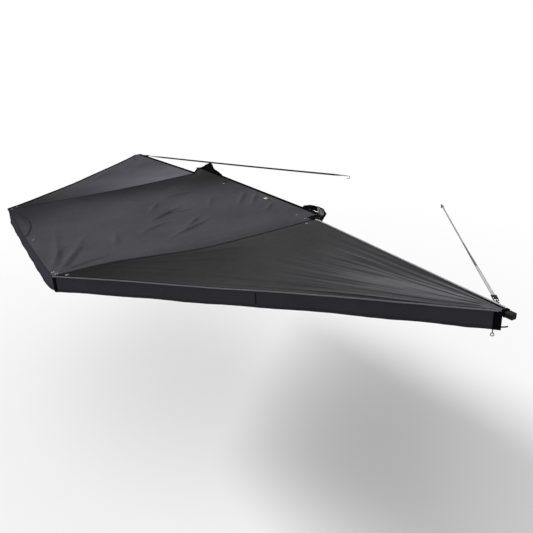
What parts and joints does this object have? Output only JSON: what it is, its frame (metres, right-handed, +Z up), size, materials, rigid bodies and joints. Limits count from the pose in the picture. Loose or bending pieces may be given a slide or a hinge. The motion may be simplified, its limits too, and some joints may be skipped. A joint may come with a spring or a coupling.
{
  "type": "vehicle side awning",
  "caption": "Side awning for a roof rack, opened out: swing arms on a wall rail carry a fabric canopy with a hanging valance, and hold fold-down telescopic legs.",
  "frame": {"origin": "middle of the base rail's flat back face, which bolts against the side of a roof rack", "axes": "+X away from the vehicle, +Y towards the vehicle's rear, +Z up"},
  "size_m": [3.5535, 6.4996, 0.3476],
  "materials": {
    "aluminium": "satin",
    "black_metal": "satin",
    "steel": "satin",
    "black_plastic": "matt",
    "rubber": "matt",
    "canopy_cloth": "matt",
    "valance_cloth": "matt",
    "cover_cloth": "matt",
    "webbing": "matt"
  },
  "bodies": {
    "rail": {"base_rail": "aluminium", "front_rack_bracket": "black_metal", "front_rack_bolt": "steel", "front_hub_bracket": "black_metal", "front_outer_pivot_bolt": "steel", "front_edge_pivot_bolt": "steel", "rear_rack_bracket": "black_metal", "rear_rack_bolt": "steel", "rear_hub_bracket": "black_metal", "rear_outer_pivot_bolt": "steel", "rear_edge_pivot_bolt": "steel", "canopy_middle": "canopy_cloth", "valance_side": "valance_cloth", "travel_cover": "cover_cloth", "front_cover_flap": "cover_cloth", "rear_cover_flap": "cover_cloth"},
    "front_outer_arm": {"front_outer_arm_knuckle": "black_metal", "front_outer_arm_channel": "aluminium", "front_outer_arm_tip_cap": "black_plastic", "front_outer_arm_leg_pin": "steel"},
    "front_outer_arm_leg": {"front_outer_arm_leg_outer": "aluminium", "front_outer_arm_leg_collar": "black_plastic"},
    "front_outer_arm_leg_slide": {"front_outer_arm_leg_inner": "aluminium", "front_outer_arm_leg_foot": "rubber"},
    "front_edge_arm": {"front_edge_arm_knuckle": "black_metal", "front_edge_arm_channel": "aluminium", "front_edge_arm_tip_cap": "black_plastic", "front_edge_arm_leg_pin": "steel", "canopy_front": "canopy_cloth", "valance_front": "valance_cloth", "front_strap_buckle": "black_metal", "front_strap_webbing": "webbing", "front_strap_hook": "black_metal"},
    "front_edge_arm_leg": {"front_edge_arm_leg_outer": "aluminium", "front_edge_arm_leg_collar": "black_plastic"},
    "front_edge_arm_leg_slide": {"front_edge_arm_leg_inner": "aluminium", "front_edge_arm_leg_foot": "rubber"},
    "rear_outer_arm": {"rear_outer_arm_knuckle": "black_metal", "rear_outer_arm_channel": "aluminium", "rear_outer_arm_tip_cap": "black_plastic", "rear_outer_arm_leg_pin": "steel"},
    "rear_outer_arm_leg": {"rear_outer_arm_leg_outer": "aluminium", "rear_outer_arm_leg_collar": "black_plastic"},
    "rear_outer_arm_leg_slide": {"rear_outer_arm_leg_inner": "aluminium", "rear_outer_arm_leg_foot": "rubber"},
    "rear_edge_arm": {"rear_edge_arm_knuckle": "black_metal", "rear_edge_arm_channel": "aluminium", "rear_edge_arm_tip_cap": "black_plastic", "rear_edge_arm_leg_pin": "steel", "canopy_rear": "canopy_cloth", "valance_rear": "valance_cloth", "rear_strap_buckle": "black_metal", "rear_strap_webbing": "webbing", "rear_strap_hook": "black_metal", "guy_ring": "steel"},
    "rear_edge_arm_leg": {"rear_edge_arm_leg_outer": "aluminium", "rear_edge_arm_leg_collar": "black_plastic"},
    "rear_edge_arm_leg_slide": {"rear_edge_arm_leg_inner": "aluminium", "rear_edge_arm_leg_foot": "rubber"}
  },
  "joints": [
    {"name": "front_outer_arm_swing", "type": "hinge", "parent": "rail", "child": "front_outer_arm", "pos_m": [0.06, -1.15, -0.022], "axis": [-0.0262, 0, -0.9997], "range_deg": [-90, 0], "deforming": ["canopy_front", "canopy_middle", "canopy_rear", "valance_front", "valance_side", "valance_rear", "front_strap_webbing", "rear_strap_webbing"]},
    {"name": "front_outer_arm_leg_fold", "type": "hinge", "parent": "front_outer_arm", "child": "front_outer_arm_leg", "pos_m": [2.02738, -1.15, -0.07152], "axis": [0, -1, 0], "range_deg": [0, 95]},
    {"name": "front_outer_arm_leg_extend", "type": "slide", "parent": "front_outer_arm_leg", "child": "front_outer_arm_leg_slide", "axis": [-0.9997, 0, 0.0262], "range_m": [0, 0.72]},
    {"name": "front_edge_arm_swing", "type": "hinge", "parent": "rail", "child": "front_edge_arm", "pos_m": [0.106, -1.21, -0.022], "axis": [-0.0262, 0.0131, -0.9996], "range_deg": [-180, 0]},
    {"name": "front_edge_arm_leg_fold", "type": "hinge", "parent": "front_edge_arm", "child": "front_edge_arm_leg", "pos_m": [0.106, -3.17738, -0.07152], "axis": [-1, 0, 0], "range_deg": [0, 95]},
    {"name": "front_edge_arm_leg_extend", "type": "slide", "parent": "front_edge_arm_leg", "child": "front_edge_arm_leg_slide", "axis": [0, 0.9997, 0.0262], "range_m": [0, 0.72]},
    {"name": "rear_outer_arm_swing", "type": "hinge", "parent": "rail", "child": "rear_outer_arm", "pos_m": [0.06, 1.15, 0.022], "axis": [0.0262, 0, 0.9997], "range_deg": [-90, 0]},
    {"name": "rear_outer_arm_leg_fold", "type": "hinge", "parent": "rear_outer_arm", "child": "rear_outer_arm_leg", "pos_m": [2.02738, 1.15, -0.02752], "axis": [0, -1, 0], "range_deg": [0, 95]},
    {"name": "rear_outer_arm_leg_extend", "type": "slide", "parent": "rear_outer_arm_leg", "child": "rear_outer_arm_leg_slide", "axis": [-0.9997, 0, 0.0262], "range_m": [0, 0.72]},
    {"name": "rear_edge_arm_swing", "type": "hinge", "parent": "rail", "child": "rear_edge_arm", "pos_m": [0.106, 1.21, 0.022], "axis": [0, 0.0131, 0.9999], "range_deg": [-180, 0]},
    {"name": "rear_edge_arm_leg_fold", "type": "hinge", "parent": "rear_edge_arm", "child": "rear_edge_arm_leg", "pos_m": [0.106, 3.17738, -0.02752], "axis": [1, 0, 0], "range_deg": [0, 95]},
    {"name": "rear_edge_arm_leg_extend", "type": "slide", "parent": "rear_edge_arm_leg", "child": "rear_edge_arm_leg_slide", "axis": [0, -0.9997, 0.0262], "range_m": [0, 0.72]}
  ],
  "couplings": [
    {"joint": "rear_outer_arm_swing", "follows": "front_outer_arm_swing", "ratio": 1},
    {"joint": "front_edge_arm_swing", "follows": "front_outer_arm_swing", "ratio": 2},
    {"joint": "rear_edge_arm_swing", "follows": "front_outer_arm_swing", "ratio": 2}
  ]
}
